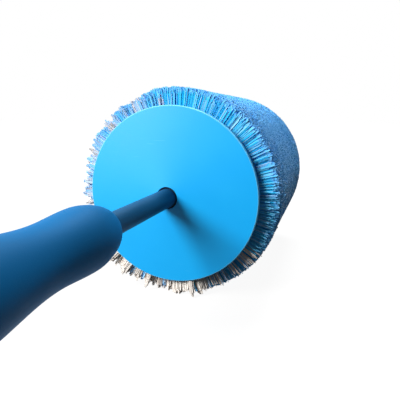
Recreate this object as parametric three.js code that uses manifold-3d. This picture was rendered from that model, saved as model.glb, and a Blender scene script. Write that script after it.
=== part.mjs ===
// Wheel hub brush: a long tufted drum behind a shallow conical splash disc, on a coated steel rod
// with a contoured soft grip. Millimetres, +Z up. The brush lies along Y on its own bristles, with
// the bristle nose at +Y and the grip at -Y. The origin is on the floor, under the middle of its length.

import * as THREE from "three";
import { mergeVertices } from "three/addons/utils/BufferGeometryUtils.js";
import Module from "manifold-3d";

const wasm = await Module();
wasm.setup();

// Clearance that seated pieces keep to each other
const fitGap = 0.3;

// How far a rib, key or cutting body runs into or past the face that it meets
const overlap = 0.5;

// Splash disc, measured from the rear plane of its rim
const discDiameter = 102;
const discRise = 5; // how far the middle of the cone stands back of the rim
const discThickness = 3;
const discEdge = 0.6; // rounding of the rim's two edges
const discLandDiameter = 54; // flat seat for the spindle flange
const discLandHeight = 2;

// Coated rod and its rubber grommet
const rodDiameter = 10.5; // a 10 mm bar and its coating
const rodChamfer = 0.6;
const rodExposed = 70.3; // rim plane to the grip ferrule
const grommetWall = 0.75;
const grommetRecess = 0.6; // how far the grommet lies below the disc's rear face

// Spindle that carries the tufted rings
const spindleDiameter = 34;
const spindleWall = 2.5;
const flangeThickness = 4;
const socketWall = 2.7;
const socketEnd = 4; // wall across the front of the rod socket
const socketSetback = 2; // that wall's front face, back from the end of the spindle
const ribCount = 4;
const ribThickness = 2;
const ribTurn = 45; // degrees from +X to the first rib
const keyWidth = 3;
const keyHeight = 1.4;
const spindlePinDiameter = 4;
const spindlePinPlace = 24; // from the flange

// Screws that hold the disc on the flange
const discScrewCount = 3;
const discScrewTurn = 30; // degrees from +X to the first screw
const discScrewDiameter = 3;
const discScrewHeadDiameter = 5.6;
const discScrewHeadHeight = 1.8;
const discScrewReach = 3.2; // thread in the disc

// Tufted rings and the nose block
const ringCount = 3;
const ringWidth = 31;
const backingDiameter = 56;
const noseStraight = 15.5;
const noseFlatDiameter = 22; // flat middle of the domed nose
const noseSocketDepth = 17.5;
const noseWeb = 6;

// Bristle strands, each one standing for a tuft
const bristleDiameter = 121.6;
const bristleNoseLength = 27.5; // from the front of the nose block to the tips
const bristleEdgeRound = 16;
const rowsPerRing = 4;
const strandsPerRow = 24;
const noseStraightRows = 2;
const noseDomeStrands = [24, 20, 18, 14, 10, 6];
const strandSides = 3;
const strandRootDiameter = 3.2;
const strandTipDiameter = 6.4;
const strandSink = 1.5; // how deep a strand is fused into its backing
const restFlat = 0.5; // depth of the flat that the brush lies on

// Nose screw, washer and plug
const noseScrewDiameter = 6;
const noseScrewLength = 30;
const noseScrewHeadDiameter = 11;
const noseScrewHeadHeight = 3.5;
const washerDiameter = 14;
const washerThickness = 1.2;
const plugThickness = 2;
const tappedRunOut = 2; // tapped depth past the end of the screw
const slotWidth = 1.6;
const slotDepth = 1;
const screwPointBevel = 0.5;

// Grip, measured along the rod from the front of its ferrule
const ferruleDiameter = 14.8;
const ferruleLength = 3.9;
const ferruleBevel = 0.6;
const ferruleLead = 0.8; // how far the ferrule stands proud of the grip's nose
const noseCurve = 16.4; // front of the grip to its bulge
const bulgeDiameter = 25.7;
const bulgeToWaist = 22.4;
const waistDiameter = 23.2;
const waistToPalm = 42;
const palmDiameter = 30.8;
const palmToCap = 14;
const capLength = 27;
const tailCurve = 45; // half length of the ellipse that rounds off the palm end
const gripCoreDiameter = 17.2;
const splineCount = 4;
const splineWidth = 2;
const splineHeight = 1;
const splineTurn = 45; // degrees from +Z to the first spline
const rodInGrip = 86; // rod inside the grip core
const capSocketDepth = 6; // grip core inside the end cap
const gripPinDiameter = 3;
const gripPinPlace = 44; // from the front of the ferrule

// End cap tab and the hole that it hangs by
const tabThickness = 13;
const tabLength = 19;
const hangHoleDiameter = 8;
const hangHoleInset = 11; // hole centre to the butt face

// Facets of round pieces
const wideSides = 44;
const gripSides = 36;
const backingSides = 24;
const smallSides = 24;
const tinySides = 12;

// Radii and stations worked out from the sizes above. A station is a Y value from the rim plane.
const discRadius = discDiameter / 2;
const rodRadius = rodDiameter / 2;
const rodBore = rodRadius + fitGap;
const discHole = rodBore + grommetWall + fitGap;
const landRadius = discLandDiameter / 2;
const spindleRadius = spindleDiameter / 2;
const socketRadius = rodBore + socketWall;
const backingRadius = backingDiameter / 2;
const tipRadius = bristleDiameter / 2;
const noseScrewHole = noseScrewDiameter / 2 + fitGap;
const counterbore = washerDiameter / 2 + fitGap;
const discScrewCircle = (spindleRadius + keyHeight + landRadius) / 2;

const flangeRear = discLandHeight + fitGap;
const ringStart = flangeRear + flangeThickness + fitGap;
const ringPitch = ringWidth + fitGap;
const noseStart = ringStart + ringCount * ringPitch;
const noseFloor = noseStart + noseSocketDepth; // bottom of the nose block's socket
const washerRear = noseFloor + noseWeb + fitGap;
const headRear = washerRear + washerThickness + fitGap;
const plugRear = headRear + noseScrewHeadHeight + fitGap;
const noseFront = plugRear + plugThickness;
const bristleFront = noseFront + bristleNoseLength;
const spindleEnd = noseFloor - fitGap;
const socketFront = spindleEnd - socketSetback;
const rodFront = socketFront - socketEnd - fitGap;
const spindlePinStation = flangeRear + flangeThickness + spindlePinPlace;

const gripStart = ferruleLead;
const bulgePlace = gripStart + noseCurve;
const waistPlace = bulgePlace + bulgeToWaist;
const palmPlace = waistPlace + waistToPalm;
const gripEnd = palmPlace + palmToCap;
const capStart = gripEnd + fitGap;
const buttPlace = capStart + capLength;
const coreStart = ferruleLength + fitGap;
const coreEnd = capStart + capSocketDepth;
const coreRadius = gripCoreDiameter / 2;
const ferruleRadius = ferruleDiameter / 2;

const axisHeight = tipRadius - restFlat;
const lengthMiddle = (bristleFront - rodExposed - buttPlace) / 2;

const paint = {
  disc: new THREE.MeshStandardMaterial({ color: 0x1fb0f5, roughness: 0.42, metalness: 0 }),
  moulding: new THREE.MeshStandardMaterial({ color: 0x1583c4, roughness: 0.5, metalness: 0 }),
  bristle: new THREE.MeshStandardMaterial({ color: 0x58aee6, roughness: 0.6, metalness: 0 }),
  rod: new THREE.MeshStandardMaterial({ color: 0x1b3f63, roughness: 0.4, metalness: 0.2 }),
  grip: new THREE.MeshStandardMaterial({ color: 0x1a5c9c, roughness: 0.65, metalness: 0 }),
  hardGrip: new THREE.MeshStandardMaterial({ color: 0x184a7c, roughness: 0.45, metalness: 0 }),
  rubber: new THREE.MeshStandardMaterial({ color: 0x14202c, roughness: 0.8, metalness: 0 }),
  steel: new THREE.MeshStandardMaterial({ color: 0xb4b8bc, roughness: 0.35, metalness: 1 }),
};

// A closed three.js geometry as a solid that can be joined and cut
function solidOf(geometry) {
  const bare = geometry.clone();
  bare.deleteAttribute("normal");
  bare.deleteAttribute("uv");
  const merged = mergeVertices(bare, 1e-4);
  return new wasm.Manifold(
    new wasm.Mesh({
      numProp: 3,
      vertProperties: merged.attributes.position.array,
      triVerts: new Uint32Array(merged.index.array),
    }),
  );
}

function geometryOf(solid) {
  const mesh = solid.getMesh();
  const geometry = new THREE.BufferGeometry();
  geometry.setAttribute("position", new THREE.BufferAttribute(mesh.vertProperties, 3));
  geometry.setIndex(new THREE.BufferAttribute(mesh.triVerts, 1));
  geometry.computeVertexNormals();
  return geometry;
}

// A solid of revolution about Y from [radius, y] points, which close on themselves or on the axis
function turned(outline, sides) {
  const points = outline.map(([radius, y]) => new THREE.Vector2(radius, y));
  if (THREE.ShapeUtils.isClockWise(points)) points.reverse();
  const meetsAxis = points[0].x === 0 && points.at(-1).x === 0;
  if (!meetsAxis) points.push(points[0].clone());
  return solidOf(new THREE.LatheGeometry(points, sides));
}

function tube(inner, outer, length, sides) {
  return turned([[inner, 0], [outer, 0], [outer, length], [inner, length]], sides);
}

// A round bar along Y from its rear end
function bar(radius, length, sides) {
  return turned([[0, 0], [radius, 0], [radius, length], [0, length]], sides);
}

// A round bar along X through the Y axis, centred on it
function crossBar(radius, length, sides) {
  return solidOf(new THREE.CylinderGeometry(radius, radius, length, sides).rotateZ(Math.PI / 2));
}

function block(width, length, height) {
  return solidOf(new THREE.BoxGeometry(width, length, height));
}

// Points on an arc of an ellipse from one angle to another, in degrees
function arc(radius, y, across, along, from, to, steps) {
  return Array.from({ length: steps + 1 }, (_, i) => {
    const angle = THREE.MathUtils.degToRad(from + ((to - from) * i) / steps);
    return [radius + across * Math.cos(angle), y + along * Math.sin(angle)];
  });
}

// A slot across a round head whose top is at the given height
function driverSlot(headDiameter, top) {
  return block(headDiameter + 2 * overlap, 2 * slotDepth, slotWidth).translate([0, top, 0]);
}

// Splash disc: a shallow cone with a softened rim, a flat land and pilot holes for its screws
function splashDisc() {
  const slope = discRise / (discRadius - discHole);
  const rearFace = (radius) => -slope * (discRadius - radius);
  const rimPlace = discRadius - discEdge;
  const rimRear = rearFace(rimPlace);
  const rim = [
    ...arc(rimPlace, rimRear + discEdge, discEdge, discEdge, -90, 0, 3),
    ...arc(rimPlace, rimRear + discThickness - discEdge, discEdge, discEdge, 0, 90, 3),
  ];
  const cone = turned(
    [
      [discHole, rearFace(discHole)],
      ...rim,
      [landRadius, rearFace(landRadius) + discThickness],
      [landRadius, discLandHeight],
      [discHole, discLandHeight],
    ],
    wideSides,
  );
  const pilotDepth = discScrewReach + fitGap;
  const pilot = bar(discScrewDiameter / 2 + fitGap, pilotDepth + overlap, tinySides)
    .translate([discScrewCircle, discLandHeight - pilotDepth, 0]);
  return screwTurns().reduce((disc, turn) => disc.subtract(pilot.rotate([0, turn, 0])), cone);
}

// Angles of the disc screws, in degrees about Y
function screwTurns() {
  return Array.from({ length: discScrewCount }, (_, i) => discScrewTurn + (360 * i) / discScrewCount);
}

// Spindle from the rear face of its flange: flange, outer tube, rod socket, ribs and keys
function hubSpindle() {
  const length = spindleEnd - flangeRear;
  const wallFront = socketFront - flangeRear;
  const innerRadius = spindleRadius - spindleWall;
  let spindle = turned(
    [
      [rodBore, 0],
      [landRadius, 0],
      [landRadius, flangeThickness],
      [spindleRadius, flangeThickness],
      [spindleRadius, length],
      [innerRadius, length],
      [innerRadius, flangeThickness],
      [socketRadius, flangeThickness],
      [socketRadius, wallFront],
      [noseScrewHole, wallFront],
      [noseScrewHole, wallFront - socketEnd],
      [rodBore, wallFront - socketEnd],
    ],
    wideSides,
  );
  const ribLength = wallFront - flangeThickness + overlap;
  const ribWidth = innerRadius - socketRadius + 2 * overlap;
  const rib = block(ribWidth, ribLength, ribThickness)
    .translate([(innerRadius + socketRadius) / 2, flangeThickness - overlap + ribLength / 2, 0]);
  for (let i = 0; i < ribCount; i += 1) {
    spindle = spindle.add(rib.rotate([0, ribTurn + (360 * i) / ribCount, 0]));
  }
  spindle = spindle.add(keyBars(spindleRadius, 0, flangeThickness - overlap, length));
  const pinHole = crossBar(spindlePinDiameter / 2 + fitGap, spindleDiameter + 2 * overlap, tinySides);
  spindle = spindle.subtract(pinHole.translate([0, spindlePinStation - flangeRear, 0]));
  const headFloor = flangeThickness - discScrewHeadHeight - fitGap;
  const screwHole = bar(discScrewDiameter / 2 + fitGap, flangeThickness + 2 * overlap, tinySides)
    .translate([0, -overlap, 0])
    .add(bar(discScrewHeadDiameter / 2 + fitGap, flangeThickness, tinySides).translate([0, headFloor, 0]))
    .translate([discScrewCircle, 0, 0]);
  return screwTurns().reduce((solid, turn) => solid.subtract(screwHole.rotate([0, turn, 0])), spindle);
}

// The two long keys above and below a spindle of this radius, or their keyways when given a clearance
function keyBars(radius, clearance, from, to) {
  const height = keyHeight + overlap + clearance;
  const key = block(keyWidth + 2 * clearance, to - from, height)
    .translate([0, (from + to) / 2, radius - overlap + height / 2]);
  return key.add(key.rotate([0, 180, 0]));
}

// Distance along a strand from its root at which its edges reach the trimmed outline of the bristles
function reachOfStrand(root, lean) {
  const edgeRadius = tipRadius - bristleEdgeRound;
  const edgePlace = bristleFront - noseStart - bristleEdgeRound;
  const outside = (reach, side) => {
    const radius = root.radius + reach * Math.cos(lean) + side * Math.sin(lean);
    const place = root.y + reach * Math.sin(lean) - side * Math.cos(lean);
    const past = Math.hypot(Math.max(radius - edgeRadius, 0), Math.max(place - edgePlace, 0));
    return past > bristleEdgeRound;
  };
  const edge = strandTipDiameter / 2;
  let near = 0;
  let far = 2 * (tipRadius + bristleNoseLength);
  while (far - near > 1e-4) {
    const middle = (near + far) / 2;
    if (outside(middle, edge) || outside(middle, -edge)) far = middle;
    else near = middle;
  }
  return near;
}

// A row of flared strands round Y, all rooted at one radius and leaning alike towards the nose
function strandRow(root, lean, count, turn) {
  const length = reachOfStrand(root, lean) + strandSink;
  const strand = solidOf(
    new THREE.CylinderGeometry(strandTipDiameter / 2, strandRootDiameter / 2, length, strandSides)
      .translate(0, length / 2 - strandSink, 0)
      .rotateZ(lean - Math.PI / 2)
      .translate(root.radius, root.y, 0),
  );
  return Array.from({ length: count }, (_, i) => strand.rotate([0, turn + (360 * i) / count, 0]));
}

// Backing and strands as one solid, bored for the keyed spindle and cut flat underneath
function tufted(backing, strands, boreDepth) {
  const bore = bar(spindleRadius + fitGap, boreDepth + overlap, backingSides).translate([0, -overlap, 0]);
  const keyways = keyBars(spindleRadius, fitGap, -overlap, boreDepth);
  const length = bristleFront + tipRadius;
  const below = block(2 * tipRadius, 2 * length, tipRadius)
    .translate([0, 0, -axisHeight - tipRadius / 2]);
  return wasm.Manifold.union([backing, ...strands]).subtract(bore).subtract(keyways).subtract(below);
}

// One tufted ring from its rear face. Odd rows are turned by half a pitch.
function tuftRing() {
  const rowPitch = ringWidth / rowsPerRing;
  const rows = Array.from({ length: rowsPerRing }, (_, row) => {
    const root = { radius: backingRadius, y: (row + 0.5) * rowPitch };
    return strandRow(root, 0, strandsPerRow, 90 + ((row % 2) * 180) / strandsPerRow);
  });
  return tufted(bar(backingRadius, ringWidth, backingSides), rows.flat(), ringWidth + overlap);
}

// Nose block from its rear face: a domed end with strands that fan round to the front
function tuftNose() {
  const length = noseFront - noseStart;
  const flatRadius = noseFlatDiameter / 2;
  const domeAcross = backingRadius - flatRadius;
  const domeHeight = length - noseStraight;
  const backing = turned(
    [
      [0, 0],
      [backingRadius, 0],
      ...arc(flatRadius, noseStraight, domeAcross, domeHeight, 0, 90, 4),
      [0, length],
    ],
    backingSides,
  );
  const rowPitch = noseStraight / noseStraightRows;
  const straightRows = Array.from({ length: noseStraightRows }, (_, row) => {
    const root = { radius: backingRadius, y: (row + 0.5) * rowPitch };
    return strandRow(root, 0, strandsPerRow, 90 + ((row % 2) * 180) / strandsPerRow);
  });
  const domeRows = noseDomeStrands.map((count, row) => {
    const angle = ((row + 0.6) / noseDomeStrands.length) * (Math.PI / 2);
    const root = {
      radius: flatRadius + domeAcross * Math.cos(angle),
      y: noseStraight + domeHeight * Math.sin(angle),
    };
    const lean = Math.atan2(Math.sin(angle) / domeHeight, Math.cos(angle) / domeAcross);
    return strandRow(root, lean, count, 90 + ((row % 2) * 180) / count);
  });
  const screwWay = bar(noseScrewHole, length + 2 * overlap, smallSides).translate([0, -overlap, 0]);
  const headWay = bar(counterbore, length, smallSides)
    .translate([0, washerRear - fitGap - noseStart, 0]);
  return tufted(backing, [...straightRows.flat(), ...domeRows.flat()], noseSocketDepth)
    .subtract(screwWay)
    .subtract(headWay);
}

// Rod from its rear end, with a tapped bore in front and two cross holes
function coatedRod() {
  const length = rodFront + rodExposed + coreStart + rodInGrip;
  const rear = rodFront - length;
  const tappedBottom = headRear - noseScrewLength - tappedRunOut - rear;
  const body = turned(
    [[0, 0], [rodRadius - rodChamfer, 0], [rodRadius, rodChamfer], [rodRadius, length - rodChamfer],
      [rodRadius - rodChamfer, length], [0, length]],
    smallSides,
  );
  const tapped = bar(noseScrewHole, length, smallSides).translate([0, tappedBottom, 0]);
  const spindleHole = crossBar(spindlePinDiameter / 2 + fitGap, rodDiameter + 2 * overlap, tinySides)
    .translate([0, spindlePinStation - rear, 0]);
  const gripHole = crossBar(gripPinDiameter / 2 + fitGap, rodDiameter + 2 * overlap, tinySides)
    .translate([0, -rodExposed - gripPinPlace - rear, 0]);
  return body.subtract(tapped).subtract(spindleHole).subtract(gripHole);
}

// Screw with its head at the front and its head's rear face at zero
function slottedScrew(diameter, length, headDiameter, headHeight, sides) {
  const dome = headHeight / 3;
  const body = turned(
    [
      [0, -length],
      [diameter / 2 - screwPointBevel, -length],
      [diameter / 2, -length + screwPointBevel],
      [diameter / 2, 0],
      [headDiameter / 2, 0],
      [headDiameter / 2, headHeight - dome],
      [headDiameter / 2 - dome, headHeight],
      [0, headHeight],
    ],
    sides,
  );
  return body.subtract(driverSlot(headDiameter, headHeight));
}

function nosePlug() {
  const radius = counterbore - fitGap;
  const edge = plugThickness / 2;
  const rounded = arc(radius - edge, edge, edge, edge, 0, 90, 4);
  return turned([[0, 0], [radius, 0], ...rounded, [0, plugThickness]], smallSides);
}

// Rubber sleeve that closes the gap between the rod and the disc, from its rear end
function rodGrommet() {
  const length = discRise - grommetRecess + discLandHeight;
  const outer = discHole - fitGap;
  const lip = grommetWall / 2;
  return turned([[rodBore, 0], [outer - lip, 0], [outer, lip], [outer, length], [rodBore, length]], smallSides);
}

// Radius of the grip's outline at a place behind its ferrule
function gripRadius(place) {
  const swell = (from, to, share) => from + ((to - from) * (1 - Math.cos(Math.PI * share))) / 2;
  const bulge = bulgeDiameter / 2;
  const waist = waistDiameter / 2;
  const palm = palmDiameter / 2;
  const mouth = ferruleRadius + fitGap;
  if (place < bulgePlace) {
    return mouth + (bulge - mouth) * Math.sqrt(1 - ((bulgePlace - place) / noseCurve) ** 2);
  }
  if (place < waistPlace) return swell(bulge, waist, (place - bulgePlace) / bulgeToWaist);
  if (place < palmPlace) return swell(waist, palm, (place - waistPlace) / waistToPalm);
  return palm * Math.sqrt(1 - ((place - palmPlace) / tailCurve) ** 2);
}

// Outline points of the grip between two places, on the -Y side
function gripOutline(from, to, steps, ease = (share) => share) {
  return Array.from({ length: steps + 1 }, (_, i) => {
    const place = from + (to - from) * ease(i / steps);
    return [gripRadius(place), -place];
  });
}

// Soft outer grip, with a mouth for the ferrule and grooves for the core's splines
function softGrip() {
  const bore = coreRadius + fitGap;
  const mouth = ferruleRadius + fitGap;
  const step = ferruleLength;
  const roundOff = (share) => 1 - Math.cos((share * Math.PI) / 2);
  const body = turned(
    [
      ...gripOutline(gripStart, bulgePlace, 7, roundOff),
      ...gripOutline(bulgePlace, waistPlace, 5).slice(1),
      ...gripOutline(waistPlace, palmPlace, 7).slice(1),
      ...gripOutline(palmPlace, gripEnd, 3).slice(1),
      [bore, -gripEnd],
      [bore, -step],
      [mouth, -step],
    ],
    gripSides,
  );
  return body.subtract(splineBars(fitGap, step, gripEnd + overlap));
}

// The core's long splines, or their grooves when given a clearance
function splineBars(clearance, from, to) {
  const height = coreRadius + splineHeight + clearance;
  const spline = block(splineWidth + 2 * clearance, to - from, height)
    .translate([0, -(from + to) / 2, height / 2]);
  const turns = Array.from({ length: splineCount }, (_, i) => splineTurn + (360 * i) / splineCount);
  return wasm.Manifold.union(turns.map((turn) => spline.rotate([0, turn, 0])));
}

// Rigid core of the grip, with a blind bore for the rod and a plain tail for the end cap
function gripCore() {
  const rodEnd = coreStart + rodInGrip + fitGap;
  const body = bar(coreRadius, coreEnd - coreStart, gripSides)
    .translate([0, -coreEnd, 0])
    .add(splineBars(0, coreStart, gripEnd - fitGap));
  const bore = bar(rodBore, rodEnd, smallSides).translate([0, -rodEnd, 0]);
  const pinHole = crossBar(gripPinDiameter / 2 + fitGap, gripCoreDiameter + 2 * overlap, tinySides)
    .translate([0, -gripPinPlace, 0]);
  return body.subtract(bore).subtract(pinHole);
}

function gripFerrule() {
  return turned(
    [
      [rodBore, 0],
      [ferruleRadius - ferruleBevel, 0],
      [ferruleRadius, -ferruleBevel],
      [ferruleRadius, -ferruleLength + fitGap],
      [rodBore, -ferruleLength + fitGap],
    ],
    gripSides,
  );
}

// End cap: the rounded butt with a flattened tab, a hang hole and a socket for the core
function endCap() {
  const socketFloor = coreEnd + fitGap;
  const body = turned([[0, -capStart], ...gripOutline(capStart, buttPlace, 9), [0, -buttPlace]], gripSides);
  const socket = bar(coreRadius + fitGap, socketFloor, gripSides).translate([0, -socketFloor, 0]);
  const cheek = block(palmDiameter, tabLength + overlap, 2 * palmDiameter)
    .translate([(tabThickness + palmDiameter) / 2, -buttPlace + (tabLength - overlap) / 2, 0]);
  const hole = crossBar(hangHoleDiameter / 2, palmDiameter, smallSides)
    .translate([0, -buttPlace + hangHoleInset, 0]);
  return body.subtract(socket).subtract(cheek).subtract(cheek.mirror([1, 0, 0])).subtract(hole);
}

function piece(name, solid, material, y = 0) {
  const mesh = new THREE.Mesh(geometryOf(solid), material);
  mesh.name = name;
  mesh.position.y = y;
  return mesh;
}

// Head: everything from the rim plane of the disc forwards
const head = new THREE.Group();
head.add(piece("splash_disc", splashDisc(), paint.disc));
head.add(piece("hub_spindle", hubSpindle(), paint.moulding, flangeRear));
const ringSolid = tuftRing();
for (let i = 0; i < ringCount; i += 1) {
  head.add(piece(`tuft_ring_${i + 1}`, ringSolid, paint.bristle, ringStart + i * ringPitch));
}
head.add(piece("tuft_nose", tuftNose(), paint.bristle, noseStart));
const washer = tube(noseScrewHole, washerDiameter / 2, washerThickness, smallSides);
head.add(piece("nose_washer", washer, paint.steel, washerRear));
const noseScrew = slottedScrew(
  noseScrewDiameter, noseScrewLength, noseScrewHeadDiameter, noseScrewHeadHeight, smallSides,
);
head.add(piece("nose_screw", noseScrew, paint.steel, headRear));
head.add(piece("nose_plug", nosePlug(), paint.rubber, plugRear));
const spindlePin = crossBar(spindlePinDiameter / 2, spindleDiameter - 2 * fitGap, tinySides);
head.add(piece("spindle_pin", spindlePin, paint.steel, spindlePinStation));
const discScrew = slottedScrew(
  discScrewDiameter,
  discScrewReach + fitGap + flangeThickness - discScrewHeadHeight,
  discScrewHeadDiameter,
  discScrewHeadHeight,
  tinySides,
);
const discScrewSeat = flangeRear + flangeThickness - discScrewHeadHeight;
screwTurns().forEach((turn, i) => {
  const placed = discScrew.translate([discScrewCircle, 0, 0]).rotate([0, turn, 0]);
  head.add(piece(`disc_screw_${i + 1}`, placed, paint.steel, discScrewSeat));
});
head.add(piece("rod_grommet", rodGrommet(), paint.rubber, grommetRecess - discRise));

// Handle: everything behind the ferrule, measured back from its front
const handle = new THREE.Group();
handle.position.y = -rodExposed;
handle.add(piece("grip_ferrule", gripFerrule(), paint.hardGrip));
handle.add(piece("grip_core", gripCore(), paint.hardGrip));
handle.add(piece("soft_grip", softGrip(), paint.grip));
const gripPin = crossBar(gripPinDiameter / 2, gripCoreDiameter - 2 * fitGap, tinySides);
handle.add(piece("grip_pin", gripPin, paint.steel, -gripPinPlace));
handle.add(piece("end_cap", endCap(), paint.hardGrip));

const brush = new THREE.Group();
const rodRear = -rodExposed - coreStart - rodInGrip;
brush.add(head, handle, piece("rod", coatedRod(), paint.rod, rodRear));
brush.position.set(0, -lengthMiddle, axisHeight);

const part = new THREE.Group();
part.add(brush);

export default part;
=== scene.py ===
import math
import random

import bmesh
import bpy
from mathutils import Matrix, Vector


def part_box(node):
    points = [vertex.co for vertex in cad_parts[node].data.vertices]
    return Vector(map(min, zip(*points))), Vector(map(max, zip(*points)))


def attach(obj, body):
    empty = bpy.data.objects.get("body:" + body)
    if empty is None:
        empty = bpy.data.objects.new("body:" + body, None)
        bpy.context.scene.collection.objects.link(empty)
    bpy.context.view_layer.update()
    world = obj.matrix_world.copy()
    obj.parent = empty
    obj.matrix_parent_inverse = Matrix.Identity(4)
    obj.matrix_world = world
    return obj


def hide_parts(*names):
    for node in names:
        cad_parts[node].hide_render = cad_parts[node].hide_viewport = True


# Wheel hub brush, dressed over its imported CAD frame. Lengths in the dictionaries are millimetres.
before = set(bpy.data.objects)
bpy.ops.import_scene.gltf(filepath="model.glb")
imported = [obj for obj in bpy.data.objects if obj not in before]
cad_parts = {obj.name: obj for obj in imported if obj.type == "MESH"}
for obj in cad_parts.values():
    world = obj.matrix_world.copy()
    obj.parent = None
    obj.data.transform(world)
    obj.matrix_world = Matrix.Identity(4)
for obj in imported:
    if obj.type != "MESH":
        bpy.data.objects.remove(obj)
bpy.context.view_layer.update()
mm = 0.001


def nodeSize(node):
    low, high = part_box(node)
    return [(end - start) / mm for start, end in zip(low, high)]


# places that the frame gives
axisHeight = (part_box("rod")[0][2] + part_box("rod")[1][2]) / 2
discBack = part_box("splash_disc")[0][1]
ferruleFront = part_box("grip_ferrule")[1][1]
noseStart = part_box("tuft_nose")[0][1]
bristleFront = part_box("tuft_nose")[1][1]
print("frame loaded, axis", round(axisHeight / mm, 2), "mm above the floor")


# shading helpers

def wire(tree, source, target):
    tree.links.new(source, target)


def addNode(tree, kind, spot, **settings):
    node = tree.nodes.new(kind)
    node.location = spot
    for name, value in settings.items():
        setattr(node, name, value)
    return node


def newGroup(name, inputs, outputs):
    group = bpy.data.node_groups.new(name, "ShaderNodeTree")
    for direction, sockets in (("INPUT", inputs), ("OUTPUT", outputs)):
        for label, kind in sockets:
            group.interface.new_socket(name=label, in_out=direction, socket_type=kind)
    entry = addNode(group, "NodeGroupInput", (-900, 0))
    leave = addNode(group, "NodeGroupOutput", (700, 0))
    return group, entry, leave


# spark-eroded mould skin: a fine grain and a slow drift of tone
def makeMouldSkin():
    group, entry, leave = newGroup(
        "mouldSkin",
        [("Vector", "NodeSocketVector"), ("Grain Scale", "NodeSocketFloat"),
         ("Drift Scale", "NodeSocketFloat")],
        [("Height", "NodeSocketFloat"), ("Drift", "NodeSocketFloat")],
    )
    grain = addNode(group, "ShaderNodeTexNoise", (-600, 120))
    grain.inputs["Detail"].default_value = 2.0
    drift = addNode(group, "ShaderNodeTexNoise", (-600, -160))
    drift.inputs["Detail"].default_value = 4.0
    drift.inputs["Roughness"].default_value = 0.55
    for texture, label in ((grain, "Grain Scale"), (drift, "Drift Scale")):
        wire(group, entry.outputs["Vector"], texture.inputs["Vector"])
        wire(group, entry.outputs[label], texture.inputs["Scale"])
    spread = addNode(group, "ShaderNodeMapRange", (-300, -160))
    spread.inputs["From Min"].default_value = 0.3
    spread.inputs["From Max"].default_value = 0.7
    wire(group, drift.outputs["Fac"], spread.inputs["Value"])
    wire(group, grain.outputs["Fac"], leave.inputs["Height"])
    wire(group, spread.outputs["Result"], leave.inputs["Drift"])
    return group


# hairline scratches in patches, and a few specks of dirt
def makeScuffs():
    group, entry, leave = newGroup(
        "scuffs",
        [("Vector", "NodeSocketVector"), ("Scale", "NodeSocketFloat"), ("Speck Scale", "NodeSocketFloat")],
        [("Scratch", "NodeSocketFloat"), ("Speck", "NodeSocketFloat")],
    )
    turn = addNode(group, "ShaderNodeMapping", (-700, 240))
    turn.inputs["Rotation"].default_value = (0.0, 0.9, 0.0)
    turn.inputs["Scale"].default_value = (1.0, 1.0, 14.0)
    wire(group, entry.outputs["Vector"], turn.inputs["Vector"])
    streaks = addNode(group, "ShaderNodeTexNoise", (-480, 240))
    streaks.inputs["Detail"].default_value = 1.0
    wire(group, turn.outputs["Vector"], streaks.inputs["Vector"])
    wire(group, entry.outputs["Scale"], streaks.inputs["Scale"])
    thin = addNode(group, "ShaderNodeMapRange", (-260, 240))
    thin.inputs["From Min"].default_value = 0.7
    thin.inputs["From Max"].default_value = 0.76
    wire(group, streaks.outputs["Fac"], thin.inputs["Value"])
    patch = addNode(group, "ShaderNodeTexNoise", (-480, 0))
    patch.inputs["Scale"].default_value = 38.0
    wire(group, entry.outputs["Vector"], patch.inputs["Vector"])
    where = addNode(group, "ShaderNodeMapRange", (-260, 0))
    where.inputs["From Min"].default_value = 0.52
    where.inputs["From Max"].default_value = 0.62
    wire(group, patch.outputs["Fac"], where.inputs["Value"])
    both = addNode(group, "ShaderNodeMath", (0, 160), operation="MULTIPLY")
    wire(group, thin.outputs["Result"], both.inputs[0])
    wire(group, where.outputs["Result"], both.inputs[1])
    dots = addNode(group, "ShaderNodeTexVoronoi", (-480, -260))
    wire(group, entry.outputs["Vector"], dots.inputs["Vector"])
    wire(group, entry.outputs["Speck Scale"], dots.inputs["Scale"])
    small = addNode(group, "ShaderNodeMapRange", (-260, -260))
    small.inputs["From Min"].default_value = 0.07
    small.inputs["From Max"].default_value = 0.04
    wire(group, dots.outputs["Distance"], small.inputs["Value"])
    few = addNode(group, "ShaderNodeMapRange", (-260, -520))
    few.inputs["From Min"].default_value = 0.86
    few.inputs["From Max"].default_value = 0.9
    wire(group, dots.outputs["Color"], few.inputs["Value"])
    speck = addNode(group, "ShaderNodeMath", (0, -300), operation="MULTIPLY")
    wire(group, small.outputs["Result"], speck.inputs[0])
    wire(group, few.outputs["Result"], speck.inputs[1])
    wire(group, both.outputs[0], leave.inputs["Scratch"])
    wire(group, speck.outputs[0], leave.inputs["Speck"])
    return group


mouldSkin = makeMouldSkin()
scuffs = makeScuffs()


def newMaterial(name, roughness, **sockets):
    material = bpy.data.materials.new(name)
    material.use_nodes = True
    tree = material.node_tree
    shader = tree.nodes["Principled BSDF"]
    shader.inputs["Roughness"].default_value = roughness
    for label, value in sockets.items():
        shader.inputs[label.replace("_", " ")].default_value = value
    return material, tree, shader


def mixColours(tree, factor, first, second, spot):
    mixer = addNode(tree, "ShaderNodeMix", spot, data_type="RGBA")
    wire(tree, factor, mixer.inputs["Factor"])
    for index, colour in ((6, first), (7, second)):  # the mixer's sockets for colours
        if isinstance(colour, bpy.types.NodeSocket):
            wire(tree, colour, mixer.inputs[index])
        else:
            mixer.inputs[index].default_value = (*colour, 1)
    return mixer.outputs[2]


def ramp(tree, value, fromMin, fromMax, toMin, toMax, spot):
    node = addNode(tree, "ShaderNodeMapRange", spot)
    for label, number in zip(("From Min", "From Max", "To Min", "To Max"), (fromMin, fromMax, toMin, toMax)):
        node.inputs[label].default_value = number
    wire(tree, value, node.inputs["Value"])
    return node.outputs["Result"]


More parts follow.
